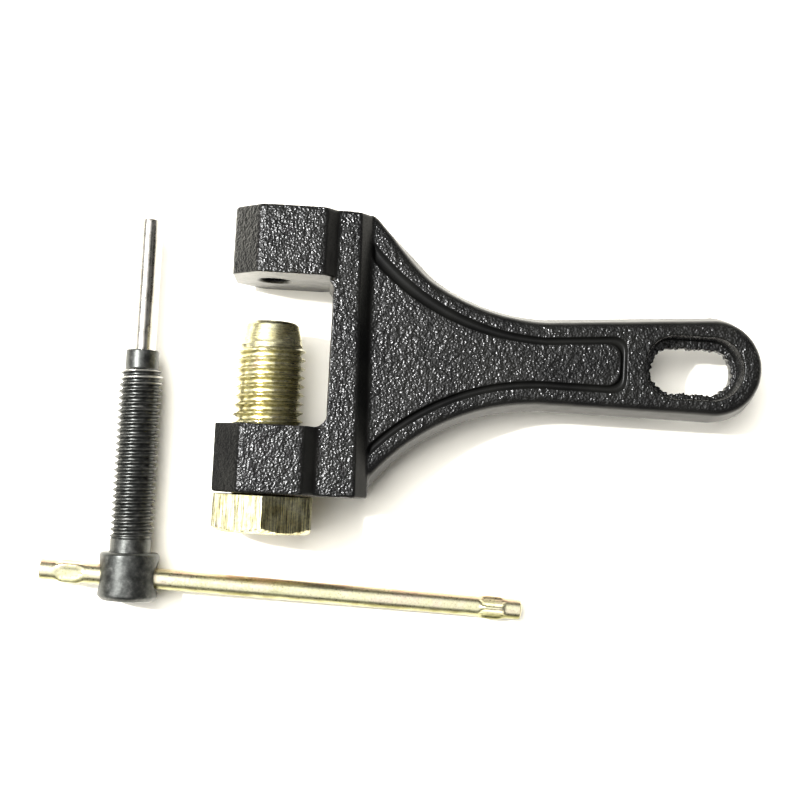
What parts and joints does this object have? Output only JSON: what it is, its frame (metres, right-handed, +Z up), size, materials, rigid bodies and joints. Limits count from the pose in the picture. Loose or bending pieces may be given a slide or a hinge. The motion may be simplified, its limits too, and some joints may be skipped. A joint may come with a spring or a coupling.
{
  "type": "chain tool",
  "caption": "Chain tool: C-shaped casting with a slotted handle, a hollow clamping bolt, and a push screw with pin and tommy bar lying beside it.",
  "frame": {"origin": "on the underside of the lower jaw, directly below the hollow bolt's axis at the jaw's middle", "axes": "+X along the handle, +Y along the hollow bolt towards the upper jaw, +Z up from the surface the tool lies on"},
  "size_m": [0.1625, 0.0903, 0.026],
  "materials": {
    "cast_black": "coarse cast texture under glossy black paint",
    "yellow_zinc": "yellow passivated zinc plate",
    "black_oxide": "black oxide, satin",
    "tool_steel": "ground steel"
  },
  "bodies": {
    "frame": {"frame_casting": "cast_black"},
    "clamp_bolt": {"hollow_bolt": "yellow_zinc"},
    "pin": {"push_pin": "tool_steel"},
    "screw": {"push_screw": "black_oxide"},
    "bar": {"tommy_bar": "yellow_zinc"}
  },
  "joints": [
    {"name": "hollow_bolt_feed", "type": "slide", "parent": "frame", "child": "clamp_bolt", "axis": [0, 1, 0], "range_m": [-0.024, 0]},
    {"name": "push_screw_feed", "type": "slide", "parent": "clamp_bolt", "child": "pin", "axis": [0, 1, 0], "range_m": [-0.0375, 0.003]},
    {"name": "push_screw_turn", "type": "hinge", "parent": "pin", "child": "screw", "pos_m": [-0.0298, -0.0279, 0.00675], "axis": [0, 1, 0], "range_deg": [-9000, 720]},
    {"name": "tommy_bar_slide", "type": "slide", "parent": "screw", "child": "bar", "axis": [0.9981, -0.0419, -0.0445], "range_m": [-0.074, 0.003]}
  ],
  "couplings": [
    {"joint": "push_screw_feed", "follows": "push_screw_turn", "m_per_rad": 0.00023873}
  ]
}
